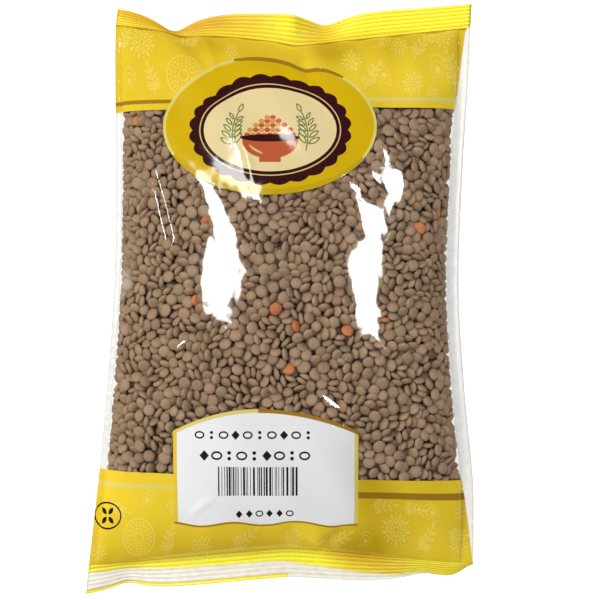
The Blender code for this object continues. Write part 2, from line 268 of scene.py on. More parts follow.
def fullness(v):
    """From 0 at the seals to 1 at the middle of the bag's length."""
    middle = (TOP_SEAL + BOTTOM_SEAL) / 2
    half = (TOP_SEAL - BOTTOM_SEAL) / 2
    t = np.clip(np.abs(v - middle) / half, 0, 1)
    return (1 - t**END_FULLNESS) ** (1 / END_ROUND)


def section_table():
    """Film length along the front's section, against the place across it."""
    u = np.sin(np.linspace(0, math.pi / 2, 400))
    x = u * (FILM_HALF - 0.008)
    z = (CROWN - SIDE_LINE) * (1 - u**SIDE_FULLNESS) ** (1 / SIDE_FULLNESS)
    length = np.concatenate([[0], np.cumsum(np.hypot(np.diff(x), np.diff(z)))])
    return u, length / length[-1]


ACROSS, ALONG_FILM = section_table()


def filled(side):
    """The share of the half width that is filled, up to the lip, on the left (below 0) or the right."""
    return 1 - np.where(np.asarray(side) < 0, LIP_LEFT, LIP_RIGHT) / FILM_HALF


def across(s, v):
    """The place across the outline, -1 to 1, of a point of the film at s, -1 to 1."""
    size, edge = np.abs(s), filled(s)
    laid = np.interp(np.minimum(size / edge, 1), ALONG_FILM, ACROSS) * edge
    return np.sign(s) * np.where(size < edge, blend(size, laid, fullness(v)), size)


def film_place(x, v):
    """The place across the flat film, in metres, of what the front shows at x and v."""
    middle, half = outline(v)
    u = (x - middle) / half
    s = np.clip(u, -1, 1)
    for _ in range(12):
        s = np.clip(s + u - across(s, v), -1, 1)
    return s * FILM_HALF


def x_of_film(a, v):
    middle, half = outline(v)
    return middle + across(a / FILM_HALF, v) * half


def rounded(distance):
    """The size of a distance, rounded off close to 0."""
    return np.hypot(distance, BEND) - BEND


def pleat(x, pleats):
    return sum(depth * np.exp(-rounded(x - place) / width) for place, depth, width in pleats)


def seal_line(x, top):
    high = TOP_SEAL + TOP_SLOPE * rounded(x - TOP_MIDDLE) - pleat(x, TOP_LINE_PLEATS)
    return np.where(top, high, BOTTOM_SEAL - BOTTOM_SLOPE * rounded(x - BOTTOM_MIDDLE))


def seal_end(x, top):
    high = TOP_END + TOP_END_BOW * (x / FILM_HALF) ** 2 - pleat(x, TOP_PLEATS)
    low = seal_line(x, False) - BOTTOM_SEAL_WIDTH + pleat(x, BOTTOM_PLEATS)
    return np.where(top, high, low)


def nearest_seal(v):
    return np.where(v > 0, TOP_SEAL, BOTTOM_SEAL)


def seal_share(v):
    """0 up to the start of a seal, 1 at its outer edge."""
    up = (v - TOP_SEAL) / (TOP_END - TOP_SEAL)
    down = (v - BOTTOM_SEAL) / (BOTTOM_END - BOTTOM_SEAL)
    return np.clip(np.where(v > 0, up, down), 0, 1)


def place_along(x, v):
    top = v > 0
    share = seal_share(v)
    start = seal_line(x, top)
    seal = nearest_seal(v)
    inside = v + (start - seal) * smooth(1 - np.abs(seal - v) / SEAL_RAMP)
    return np.where(share > 0, blend(start, seal_end(x, top), share), inside)


def lean(x, v):
    """How far a seal drops where a pleat shortens it."""
    top = v > 0
    width = np.where(top, TOP_SEAL_WIDTH, BOTTOM_SEAL_WIDTH)
    shown = np.minimum(np.abs(seal_end(x, top) - seal_line(x, top)), width)
    return PLEAT_LEAN * np.sqrt(np.maximum(width**2 - shown**2, 0)) * seal_share(v)


def puckers(x, v):
    inside = np.abs(nearest_seal(v) - v) / PUCKER_LENGTH
    swell = np.where(seal_share(v) == 0, inside * np.exp(1 - inside), 0)
    return PUCKER_HEIGHT * swell * np.cos(2 * math.pi * x / PUCKER_PITCH + 3 * v / PUCKER_LENGTH)


def form(s, v, front):
    """Points of the wrapped film at s across, -1 to 1, and v along; front is true where it is the front."""
    middle, half = outline(v)
    full = fullness(v)
    u = across(s, v)
    x = middle + u * half
    y = place_along(x, v)
    share = seal_share(v)
    ribs = RIB_HEIGHT * np.sin(2 * math.pi * RIBS * share)
    mid = SEAL_HEIGHT - lean(x, v) + ribs
    side = blend(mid, SIDE_LINE, full)
    thin = np.clip(RIM_TAPER * (1 - np.abs(s)), 0, 1) * np.clip(8 * (1 - share), 0, 1)
    wall = blend(SEAL_WALL / 2, LIP_WALL, full) * thin
    inside = np.minimum(np.abs(u) / filled(s), 1)
    dome = np.maximum(1 - inside**SIDE_FULLNESS, 0) ** (1 / SIDE_FULLNESS)
    high = side + (blend(mid, CROWN, full) - side) * dome + puckers(x, v) * dome + wall
    seal_reach = np.abs(nearest_seal(v)) - REST_LENGTH_HALF
    end_turn = np.clip((np.abs(v) - REST_LENGTH_HALF) / seal_reach, 0, 1)
    floor = (mid - wall) * (1 - np.sqrt(1 - end_turn**2))
    side_turn = np.clip((inside - REST_WIDTH) / (1 - REST_WIDTH), 0, 1)
    low = floor + (side - wall - floor) * (1 - np.sqrt(1 - side_turn**2))
    low = np.where(share == 0, low, mid - wall)
    return np.stack([x, y, np.where(front, high, low)], axis=-1)


def directions(s, v, front):
    """Unit directions of the film round the bag, along it and outwards."""
    h = 1e-4
    aside = form(np.clip(s + h, -1, 1), v, front) - form(np.clip(s - h, -1, 1), v, front)
    along = unit(form(s, v + h, front) - form(s, v - h, front))
    aside = unit(np.where(np.asarray(front)[..., None], aside, -aside))
    return aside, along, unit(np.cross(aside, along))


# Lentils

def rim_place(turn):
    """From a place round the bag to the place across the film and whether it is on the front."""
    q = (turn % ROUND) / (ROUND / 4) - 2
    front = np.abs(q) <= 1
    return np.where(front, q, np.sign(q) * 2 - q), front


def neighbour_pairs(place, distance):
    """Pairs of seeds closer than a distance, with the layer bent round to meet itself."""
    radius = ROUND / (2 * math.pi)
    angle = place[:, 0] / radius
    out = radius - place[:, 2]
    bent = np.column_stack([out * np.cos(angle), out * np.sin(angle), place[:, 1]])
    tree = tree_of(bent)
    pairs = [(i, j) for i, p in enumerate(bent) for _, j, _ in tree.find_range(p, distance) if j > i]
    return np.array(pairs).T


def stand(facing, radius, half):
    """How far a seed reaches towards the film, from the way it faces."""
    up = facing[:, 2] ** 2
    return np.sqrt(radius**2 * (1 - up) + half**2 * up)


def settle(place, facing, radius, half):
    """Pushes and turns the seeds until they hardly cross each other or the film."""
    ratio = (LENTIL_THICKNESS / 2 / LENTIL_RADIUS) ** 2
    chi = (ratio - 1) / (ratio + 1)
    for step in range(SETTLE_ROUNDS):
        if step % PAIRS_EVERY == 0:
            i, j = neighbour_pairs(place, PAIR_REACH * LENTIL_RADIUS)
        gap = place[j] - place[i]
        gap[:, 0] -= ROUND * np.round(gap[:, 0] / ROUND)
        apart = np.linalg.norm(gap, axis=1)
        way = gap / np.maximum(apart, 1e-9)[:, None]
        one, two = facing[i], facing[j]
        a, b, c = (way * one).sum(1), (way * two).sum(1), (one * two).sum(1)
        plus, minus = (a + b) / (1 + chi * c), (a - b) / (1 - chi * c)
        spare = 1 - chi / 2 * ((a + b) * plus + (a - b) * minus)
        need = (radius[i] + radius[j]) / np.sqrt(spare)
        lack = np.maximum(need - apart, 0)
        push = way * (PUSH * lack)[:, None]
        np.add.at(place, i, -push)
        np.add.at(place, j, push)
        rate = (TWIST * lack * need * chi / (2 * spare) / LENTIL_RADIUS**2)[:, None]
        twist = (chi / 2 * (plus**2 - minus**2))[:, None]
        np.add.at(facing, i, -rate * ((plus + minus)[:, None] * way - twist * two))
        np.add.at(facing, j, -rate * ((plus - minus)[:, None] * way - twist * one))
        facing /= np.linalg.norm(facing, axis=1, keepdims=True)
        high = stand(facing, radius, half)
        lack = np.maximum(high + FILM_GAP - place[:, 2], 0)
        facing[:, 2] += 0.5 * lack * (radius**2 - half**2) * facing[:, 2] / high / LENTIL_RADIUS**2
        facing /= np.linalg.norm(facing, axis=1, keepdims=True)
        press = PRESS * max(0.0, 1 - 1.25 * step / SETTLE_ROUNDS)
        place[:, 2] = np.clip(place[:, 2] + LIFT * lack - press, 0, LAYER_DEPTH)
        place[:, 1] = np.clip(place[:, 1], FILL_BOTTOM, FILL_TOP)


def axes_facing(up):
    """Right-handed axes for each seed, the third one up, spun at random."""
    helper = np.where(np.abs(up[:, :1]) < 0.9, (1.0, 0.0, 0.0), (0.0, 1.0, 0.0))
    first = unit(np.cross(helper, up))
    spin = DRAW.uniform(0, 2 * math.pi, len(up))[:, None]
    first = first * np.cos(spin) + np.cross(up, first) * np.sin(spin)
    return np.stack([first, np.cross(up, first), up], axis=-1)


def hidden_by_print(x, v, front):
    """True well inside the print on the front, where it covers the filling."""
    edge = COVERED_PANEL
    oval = ((x - OVAL_CENTRE[0]) / (OVAL_HALF[0] - edge)) ** 2
    oval = oval + ((v - OVAL_CENTRE[1]) / (OVAL_HALF[1] - edge)) ** 2
    label = (x > LABEL_LEFT + edge) & (x < LABEL_RIGHT - edge) & (v < label_top(x) - edge)
    end = (v > header_edge(x) + COVERED_END) | (v < footer_edge(x) - COVERED_END)
    return front & ((oval < 1) | label | end)


def inside_film(centre, v, up, radius, half):
    """True where a seed's centre keeps its reach from both the front and the back film."""
    s = film_place(centre[:, 0], v) / FILM_HALF
    high = form(s, v, np.full(len(v), True))[:, 2] - centre[:, 2]
    low = centre[:, 2] - form(s, v, np.full(len(v), False))[:, 2]
    room = 0.85 * stand(up, radius, half)
    return (high > room) & (low > room) & (np.abs(s) < filled(s))


def layer_of_lentils():
    """The seeds against the film: axes, centres, sizes, and the top of each and its depth."""
    volume = 4 / 3 * math.pi * LENTIL_RADIUS**2 * LENTIL_THICKNESS / 2
    count = int(FILL_SHARE * ROUND * (FILL_TOP - FILL_BOTTOM) * LAYER_DEPTH / volume)
    radius = LENTIL_RADIUS * (1 + DRAW.normal(0, RADIUS_SPREAD, count).clip(-0.15, 0.15))
    half = LENTIL_THICKNESS / 2 * (1 + DRAW.normal(0, THICKNESS_SPREAD, count).clip(-0.2, 0.2))
    place = np.column_stack([DRAW.uniform(0, ROUND, count), DRAW.uniform(FILL_BOTTOM, FILL_TOP, count),
                             DRAW.uniform(0.0008, LAYER_DEPTH, count)])
    facing = unit(DRAW.normal(0, 1, (count, 3)) * FLATTEN)
    settle(place, facing, radius, half)
    s, front = rim_place(place[:, 0])
    high = stand(facing, radius, half)
    v, depth = place[:, 1], np.maximum(place[:, 2], high + 2 * FILM_GAP)
    s = s * filled(s)
    aside, along, out = directions(s, v, front)
    film = form(s, v, front)
    centre = film - out * depth[:, None]
    up = aside * facing[:, :1] + along * facing[:, 1:2] + out * facing[:, 2:]
    below = depth - high
    kept = inside_film(centre, v, up, radius, half) & ~hidden_by_print(film[:, 0], v, front)
    seeds = {"axes": axes_facing(up), "centre": centre, "radius": radius, "half": half,
             "front": front, "below": below, "top": film - out * below[:, None]}
    return {name: rows[kept] for name, rows in seeds.items()}


def lens(segments, rings):
    """A flat round seed with a blunt rim: unit radius, unit half thickness."""
    radii = [math.cos(math.pi / 2 * i / rings) for i in range(rings)]
    heights = [(1 - r**3.6) ** 0.60 for r in radii]
    turns = np.linspace(0, 2 * math.pi, segments, endpoint=False)
    circle = np.stack([np.cos(turns), np.sin(turns)], axis=-1)
    points = [np.column_stack([circle, np.zeros(segments)])]
    for side in (1, -1):
        for r, h in zip(radii[1:], heights[1:]):
            points.append(np.column_stack([circle * r, np.full(segments, side * h)]))
        points.append(np.array([[0.0, 0.0, side * 1.0]]))
    faces = []
    per_side = (rings - 1) * segments + 1
    for number, side in enumerate((1, -1)):
        first = segments + number * per_side
        loops = [0] + [first + k * segments for k in range(rings - 1)]
        made = []
        for i in range(segments):
            j = (i + 1) % segments
            for low, high in zip(loops[:-1], loops[1:]):
                made += [(low + i, low + j, high + j), (low + i, high + j, high + i)]
            made.append((loops[-1] + i, loops[-1] + j, first + per_side - 1))
        faces += made if side > 0 else [(a, c, b) for a, b, c in made]
    return np.concatenate(points), np.array(faces)


def lentil_piece(name, seeds, chosen, shape, material):
    """All the chosen seeds as one mesh, with a tone for each seed."""
    points, faces = shape
    axes, centre = seeds["axes"][chosen], seeds["centre"][chosen]
    radius, half = seeds["radius"][chosen], seeds["half"][chosen]
    count = len(centre)
    uneven = 1 + DRAW.normal(0, 0.03, (count, 1, 2)).clip(-0.07, 0.07)
    local = np.empty((count, len(points), 3))
    local[..., :2] = points[None, :, :2] * radius[:, None, None] * uneven
    local[..., 2] = points[None, :, 2] * half[:, None]
    placed = np.einsum("nij,nkj->nki", axes, local) + centre[:, None, :]
    index = faces[None] + (np.arange(count) * len(points))[:, None, None]
    made = mesh_object(name, placed.reshape(-1, 3), index.reshape(-1, 3))
    set_tone(made, np.repeat(DRAW.random(count), len(points)))
    made.data.materials.append(material)
    part_of_bag(made)


def lentils():
    seeds = layer_of_lentils()
    upper = (seeds["below"] < UPPER_DEPTH) & seeds["front"]
    behind = (seeds["below"] < UPPER_DEPTH) & ~seeds["front"]
    lower = (seeds["below"] >= UPPER_DEPTH) & (seeds["below"] < LOWER_DEPTH)
    kind = DRAW.random(len(upper))
    for x, y in ORANGE_PLACES:
        apart = np.hypot(seeds["centre"][:, 0] - x, seeds["centre"][:, 1] - y) + seeds["below"]
        kind[np.argmin(np.where(upper, apart, 1.0))] = 2
    kinds = (
        ("lentils_brown", 0.0, 0.40, (0.308, 0.190, 0.110), (0.402, 0.256, 0.154)),
        ("lentils_tan", 0.40, 0.72, (0.328, 0.215, 0.126), (0.422, 0.284, 0.170)),
        ("lentils_olive", 0.72, 1.0, (0.290, 0.190, 0.108), (0.382, 0.256, 0.148)),
        ("lentils_orange", 1.5, 2.5, (0.52, 0.165, 0.050), (0.64, 0.225, 0.070)),
    )
    shape = lens(14, 4)
    for name, low, high, dark, light in kinds:
        chosen = np.flatnonzero(upper & (kind >= low) & (kind < high))
        lentil_piece(name, seeds, chosen, shape, lentil_material(name, dark, light))
    # The seeds behind and below are darker than the front ones: painted shade.
    inner = lentil_material("lentils_shaded_inner", (0.250, 0.165, 0.106), (0.360, 0.244, 0.160))
    lentil_piece("lentils_behind", seeds, np.flatnonzero(behind), lens(10, 3), inner)
    lentil_piece("lentils_below", seeds, np.flatnonzero(lower), lens(8, 3), inner)
    return {name: rows[upper] for name, rows in seeds.items()}


def core():
    """The dark inside behind the lentils, as painted shade between them: the bag's form, shrunk."""
    rows = np.linspace(BOTTOM_SEAL + CORE_END, TOP_SEAL - CORE_END, CORE_ROWS)
    turn, v = np.meshgrid(np.linspace(0, ROUND, CORE_COLUMNS, endpoint=False), rows)
    s, front = rim_place(turn.ravel())
    v = v.ravel()
    s = s * filled(s)
    shell = form(s, v, front)
    _, _, out = directions(s, v, front)
    middle = np.column_stack([np.full(len(v), CORE_MIDDLE[0]), shell[:, 1], np.full(len(v), CORE_MIDDLE[1])])
    depth = np.minimum(CORE_DEPTH, 0.5 * np.linalg.norm(shell - middle, axis=1))
    points = shell - out * depth[:, None]
    points[:, 2] = np.maximum(points[:, 2], CORE_FLOOR)
    grid = np.arange(len(v)).reshape(CORE_ROWS, CORE_COLUMNS)
    nxt = np.roll(grid, -1, axis=1)
    a, b, c, d = grid[:-1], nxt[:-1], nxt[1:], grid[1:]
    faces = [np.stack(corners, -1).reshape(-1, 3) for corners in ((a, b, c), (a, c, d))]
    low, high = grid[0], grid[-1]
    faces.append([(low[0], low[i + 1], low[i]) for i in range(1, CORE_COLUMNS - 1)])
    faces.append([(high[0], high[i], high[i + 1]) for i in range(1, CORE_COLUMNS - 1)])
    made = mesh_object("lentil_core", points, np.concatenate(faces))
    # Its dark brown is painted shade seen between the seeds.
    made.data.materials.append(lentil_material("core_painted_shade", (0.120, 0.074, 0.044), (0.160, 0.100, 0.060)))
    part_of_bag(made)


# Film relief

def crease_height(x, v):
    total = np.zeros_like(x)
    for path, height, width in CREASES:
        nearest = np.full(x.shape, np.inf)
        share = np.zeros_like(x)
        for k, (a, b) in enumerate(zip(path[:-1], path[1:])):
            line = np.subtract(b, a)
            t = np.clip(((x - a[0]) * line[0] + (v - a[1]) * line[1]) / (line @ line), 0, 1)
            d = np.hypot(x - a[0] - t * line[0], v - a[1] - t * line[1])
            closer = d < nearest
            nearest = np.where(closer, d, nearest)
            share = np.where(closer, (k + t) / (len(path) - 1), share)
        taper = np.sin(math.pi * np.clip(share * 0.9 + 0.05, 0, 1)) ** 0.7
        ridge = np.exp(-(nearest / width) ** 2) - 0.35 * np.exp(-(nearest / (2.4 * width)) ** 2)
        total += height * taper * ridge
    return total


def sagging(points, seeds):
    """How the film sags between the seeds under it, from about -1 to 1."""
    tree = tree_of(seeds["top"])
    relief = np.zeros(len(points))
    for n, p in enumerate(points):
        near = tree.find_n(p, 3)
        if near[0][2] < 0.006:
            height = sum(math.exp(-(d / 0.0022) ** 2) * (1 - 350 * seeds["below"][i]) for _, i, d in near)
            relief[n] = min(height, 1.3) - 0.6
    return relief


# Print: shapes are lists of closed outlines, filled by the even-odd rule

def oval_points(centre, half, a):
    return np.column_stack([centre[0] + half[0] * np.cos(a), centre[1] + half[1] * np.sin(a)])


def ellipse(centre, half, count, scallops=0, depth=0.0):
    a = np.linspace(0, 2 * math.pi, count, endpoint=False)
    r = 1 + depth * np.abs(np.sin(scallops * a / 2))
    return oval_points(centre, (half[0] * r, half[1] * r), a)


def polar(centre, distance, angle):
    return centre[0] + distance * math.cos(angle), centre[1] + distance * math.sin(angle)


def turned(points, angle):
    turn = np.array([[math.cos(angle), -math.sin(angle)], [math.sin(angle), math.cos(angle)]])
    return points @ turn.T


def level(height):
    """An edge straight across the bag, as a function of x."""
    return lambda x: np.full_like(x, height)


def ring(centre, radius, line, count, scallops=0, depth=0.0):
    return [ellipse(centre, (radius,) * 2, count, scallops, depth),
            ellipse(centre, (radius - line,) * 2, count, scallops, depth)]


def arc_band(centre, half, width, start, stop):
    """A band along the inside of an ellipse, between two angles in degrees, with tapered ends."""
    a = np.radians(np.linspace(start, stop, 48))
    inset = width * np.sin(np.linspace(0.25, math.pi - 0.25, 48)) ** 0.5
    inner = oval_points(centre, (half[0] - inset, half[1] - inset), a)
    return [np.concatenate([oval_points(centre, half, a), inner[::-1]])]


def stroke(path, width):
    """A line with square ends, as a closed outline."""
    path = np.asarray(path, float)
    way = unit(np.gradient(path, axis=0))
    aside = np.column_stack([-way[:, 1], way[:, 0]]) * width / 2
    return np.concatenate([path + aside, (path - aside)[::-1]])


def petal(centre, angle, start, length, width, count=12):
    """A pointed petal that runs outwards from a centre."""
    t = np.linspace(0, 1, count)
    half = width / 2 * np.sin(math.pi * t) ** 0.8
    along = start + length * t
    side = np.concatenate([np.column_stack([along, half]), np.column_stack([along, -half])[::-1][1:-1]])
    return turned(side, angle) + centre


def outlined_petal(centre, angle, start, length, width, line):
    inner = petal(centre, angle, start + line * 1.6, length - line * 3.2, max(width - 2 * line, line), 8)
    return [petal(centre, angle, start, length, width), inner]


def rosette(centre, radius, petals, line):
    """A round flower of line work: a ring, long petals, short petals between them and dots."""
    shapes = [ring(centre, radius * 0.20, line, 20)]
    for i in range(petals):
        angle = 2 * math.pi * i / petals + 0.2
        shapes.append(outlined_petal(centre, angle, radius * 0.26, radius * 0.46, radius * 0.26, line))
        between = angle + math.pi / petals
        shapes.append([petal(centre, between, radius * 0.55, radius * 0.42, radius * 0.14, 8)])
        shapes.append([ellipse(polar(centre, radius * 0.86, angle), (radius * 0.055,) * 2, 8)])
    return shapes


def wheel(centre, radius, line):
    """Rings of small dots round a ring."""
    shapes = [ring(centre, radius * 0.30, line, 20), ring(centre, radius * 0.96, line, 40, 18, 0.06)]
    for share, dots in ((0.46, 12), (0.62, 16), (0.78, 22)):
        for i in range(dots):
            a = 2 * math.pi * (i + 0.5 * (dots % 4 == 0)) / dots
            shapes.append([ellipse(polar(centre, radius * share, a), (radius * 0.052,) * 2, 7)])
    return shapes


def drop(centre, angle, size, line):
    """A curved drop with smaller drops in it."""
    t = np.linspace(0, 2 * math.pi, 26, endpoint=False)
    along = -np.cos(t) * 0.5
    bent = np.sin(t) * np.sin(t / 2) ** 1.5 * 0.46 + 0.18 * (along + 0.5) ** 2
    loop = turned(np.column_stack([along, bent]), angle)
    shapes = []
    for scale in (1.0, 0.62, 0.26):
        sizes = (size * scale, size * scale - 1.6 * line)
        loops = [loop * max(length, line) + centre for length in sizes]
        shapes.append(loops if scale > 0.3 else loops[:1])
    return shapes


def sprig(root, angle, length, leaves, line, bend):
    """A bent stem with paired leaves."""
    way = angle + bend * np.linspace(0, 1, 14)
    step = length / 13
    xs = root[0] + np.concatenate([[0], np.cumsum(np.cos(way[1:]) * step)])
    ys = root[1] + np.concatenate([[0], np.cumsum(np.sin(way[1:]) * step)])
    shapes = [[stroke(np.column_stack([xs, ys]), line)]]
    for i in range(leaves):
        k = 2 + int(11 * i / leaves)
        size = length * (0.34 - 0.14 * i / leaves)
        for side in (-1, 1):
            shapes.append(outlined_petal((xs[k], ys[k]), way[k] + side * 0.85, line, size, size * 0.42, line))
    shapes.append(outlined_petal((xs[-1], ys[-1]), way[-1], 0, length * 0.26, length * 0.12, line))
    return shapes


def label_top(x):
    side = np.where(x > LABEL_MIDDLE, LABEL_RIGHT - LABEL_MIDDLE, LABEL_MIDDLE - LABEL_LEFT)
    return LABEL_APEX - (LABEL_APEX - LABEL_SHOULDER) * ((x - LABEL_MIDDLE) / side) ** 2


def label_bottom(x):
    wave = LABEL_WAVE * np.cos(2 * math.pi * (x - LABEL_WAVE_PLACE) / LABEL_WAVE_LENGTH)
    return LABEL_BOTTOM - wave + LABEL_RISE * np.maximum(LABEL_RISE_FROM - x, 0)


def label_outline(inset):
    x = np.linspace(LABEL_RIGHT - inset, LABEL_LEFT + inset, 60)
    arch = np.column_stack([x, label_top(x) - inset])
    return np.concatenate([arch, np.column_stack([x, label_bottom(x)])[::-1]])


def rectangle(left, right, low, high):
    return np.array([[left, low], [right, low], [right, high], [left, high]])


def band(low, high, left=-0.1, right=0.1):
    """A strip from side to side, whose lower and upper edges are functions of x."""
    x = np.linspace(left, right, 60)
    return np.concatenate([np.column_stack([x, low(x)]), np.column_stack([x, high(x)])[::-1]])


def header_edge(x):
    return HEADER_EDGE + HEADER_SLOPE * x


def footer_edge(x):
    return FOOTER_EDGE + FOOTER_SLOPE * x


def line_beside(edge, inset, width):
    """The two edges of a printed line that runs along another edge."""
    return lambda x: edge(x) + inset, lambda x: edge(x) + inset + math.copysign(width, inset)


def ornament():
    """Pale line work on the yellow ends: wheels, rosettes, drops, sprigs and small flowers."""
    line = ORNAMENT_LINE
    shapes = wheel((-0.0405, 0.0935), 0.0076, line) + wheel((-0.0600, -0.0985), 0.0070, line)
    for x, v, radius, petals in (
        (-0.0590, 0.1040, 0.0064, 8), (-0.0205, 0.1030, 0.0036, 6), (0.0310, 0.1000, 0.0052, 7),
        (0.0570, 0.0900, 0.0050, 8), (0.0700, 0.1080, 0.0060, 8), (-0.0330, -0.1035, 0.0048, 7),
        (0.0500, -0.0965, 0.0068, 9), (0.0770, -0.1010, 0.0046, 7), (0.0060, -0.1030, 0.0044, 7),
        (-0.0780, -0.1030, 0.0042, 7), (0.0515, 0.1045, 0.0042, 7), (0.0655, 0.0862, 0.0034, 6),
        (0.0780, -0.0900, 0.0036, 6),
    ):
        shapes += rosette((x, v), radius, petals, line)
    for x, v, angle, size in (
        (-0.0640, 0.0905, 1.0, 0.0085), (0.0450, 0.0935, 2.2, 0.0105), (0.0680, 0.0945, 1.2, 0.0110),
        (0.0440, 0.1060, 0.3, 0.0080), (-0.0560, -0.0855, 0.4, 0.0075), (0.0660, -0.0900, 2.4, 0.0095),
        (0.0370, -0.1020, 0.8, 0.0080), (-0.0440, -0.0890, 1.9, 0.0070),
    ):
        shapes += drop((x, v), angle, size, line)
    for x, v, angle, length, bend in (
        (-0.0525, 0.0860, 1.75, 0.0100, 0.3), (-0.0680, 0.1000, 1.5, 0.0090, -0.6),
        (-0.0330, 0.1080, 3.0, 0.0100, 0.4), (0.0365, 0.0880, 1.3, 0.0110, -0.5),
        (0.0580, 0.0990, 1.3, 0.0110, -0.7), (0.0760, 0.0880, 1.7, 0.0130, 0.3),
        (-0.0720, -0.0860, -0.8, 0.0080, 0.6), (-0.0210, -0.1050, 0.3, 0.0120, 0.4),
        (0.0200, -0.1045, 0.2, 0.0110, 0.5), (0.0590, -0.1040, 0.6, 0.0110, 0.6),
        (0.0385, -0.0875, -0.1, 0.0100, 0.2), (0.0720, -0.0960, -0.5, 0.0090, 0.6),
        (-0.0480, -0.1060, 1.6, 0.0100, -0.5), (0.0520, -0.0885, 0.1, 0.0090, -0.3),
    ):
        shapes += sprig((x, v), angle, length, 4, line, bend)
    return shapes


def bowl_picture():
    """The medallion's picture: a bowl heaped with pulses between two sprigs, by kind of ink."""
    cx, cy = MEDALLION_CENTRE
    t = np.linspace(0, math.pi, 24)
    body = np.column_stack([cx - 0.0118 * np.cos(t), cy - 0.0035 - 0.0088 * np.sin(t) ** 0.8])
    foot = rectangle(cx - 0.0045, cx + 0.0045, cy - 0.0138, cy - 0.0118)
    rim = ellipse((cx, cy - 0.0035), (0.0126, 0.0016), 40)
    glint = arc_band((cx, cy - 0.0045), (0.0095, 0.0062), 0.0010, 200, 250)
    heap = []
    for count, rise in ((9, 0.0), (8, 0.0021), (6, 0.0041), (4, 0.0059), (2, 0.0074)):
        for i in range(count):
            x = cx + (i - (count - 1) / 2) * 0.0024
            heap.append([ellipse((x, cy - 0.0022 + rise), (0.00125, 0.00105), 14)])
    leaves = sprig((cx - 0.0150, cy - 0.0090), 1.9, 0.0170, 5, 0.0005, -0.8)
    leaves += sprig((cx + 0.0150, cy - 0.0090), 1.25, 0.0170, 5, 0.0005, 0.8)
    return [("green_ink", leaves), ("red_ink", heap[::2]), ("brown_ink", heap[1::2]),
            ("red_ink", [[body], [foot]]), ("maroon_ink", [[rim]]), ("sand_ink", [glint])]


def motif_row(left, right, middle, height, kinds):
    """A row of plain motifs, each in its turn: an open lens, a lozenge or a pair of dots."""
    pitch = height * 1.10
    count = int((right - left) / pitch)
    shapes = []
    for i in range(count):
        x = left + (i + 0.5) * (right - left) / count
        kind = kinds[i % len(kinds)]
        if kind == "lens":
            shapes.append([ellipse((x, middle), (height * 0.50, height * 0.40), 20),
                           ellipse((x, middle), (height * 0.34, height * 0.23), 16)])
        elif kind == "lozenge":
            shapes.append([ellipse((x, middle), (height * 0.42, height * 0.48), 4)])
        else:
            for side in (-1, 1):
                shapes.append([ellipse((x, middle + side * height * 0.26), (height * 0.17,) * 2, 10)])
    return shapes


def label_marks():
    """Rows of plain motifs and a random bar pattern, in place of wording."""
    shapes = motif_row(-0.0358, 0.0150, -0.0576, 0.0042, ("lens", "dots", "lens", "lozenge"))
    shapes += motif_row(-0.0340, 0.0136, -0.0664, 0.0048, ("lozenge", "lens", "dots", "lens", "dots"))
    draw = np.random.default_rng(5)
    x = -0.0256
    while x < 0.0072:
        width = draw.choice([0.00030, 0.00030, 0.00058, 0.00088])
        shapes.append([rectangle(x, x + width, -0.0836, -0.0712)])
        x += width + draw.choice([0.00032, 0.00032, 0.0006, 0.0009])
    return shapes + motif_row(-0.0190, 0.0068, -0.0913, 0.0034, ("lozenge", "lozenge", "lens"))


def petal_sign():
    """A small dark ring with four petals, low on the left."""
    spot = (-0.0735, -0.0908)
    turns = np.arange(4) * math.pi / 2 + math.pi / 4
    outer, inner = ellipse(spot, (0.0062, 0.0046), 40), ellipse(spot, (0.0056, 0.0040), 40)
    return [("dark_ink", [[outer, inner]]),
            ("dark_ink", [[petal(spot, a, 0.0006, 0.0031, 0.0017, 8)] for a in turns])]


def pulled(loop):
    """An outline, moved where creases pull the print."""
    moved = loop.copy()
    for x, v, wide, high, shift in PULLS:
        moved[:, 1] += shift * np.exp(-((loop[:, 0] - x) / wide) ** 2 - ((loop[:, 1] - v) / high) ** 2)
    return moved


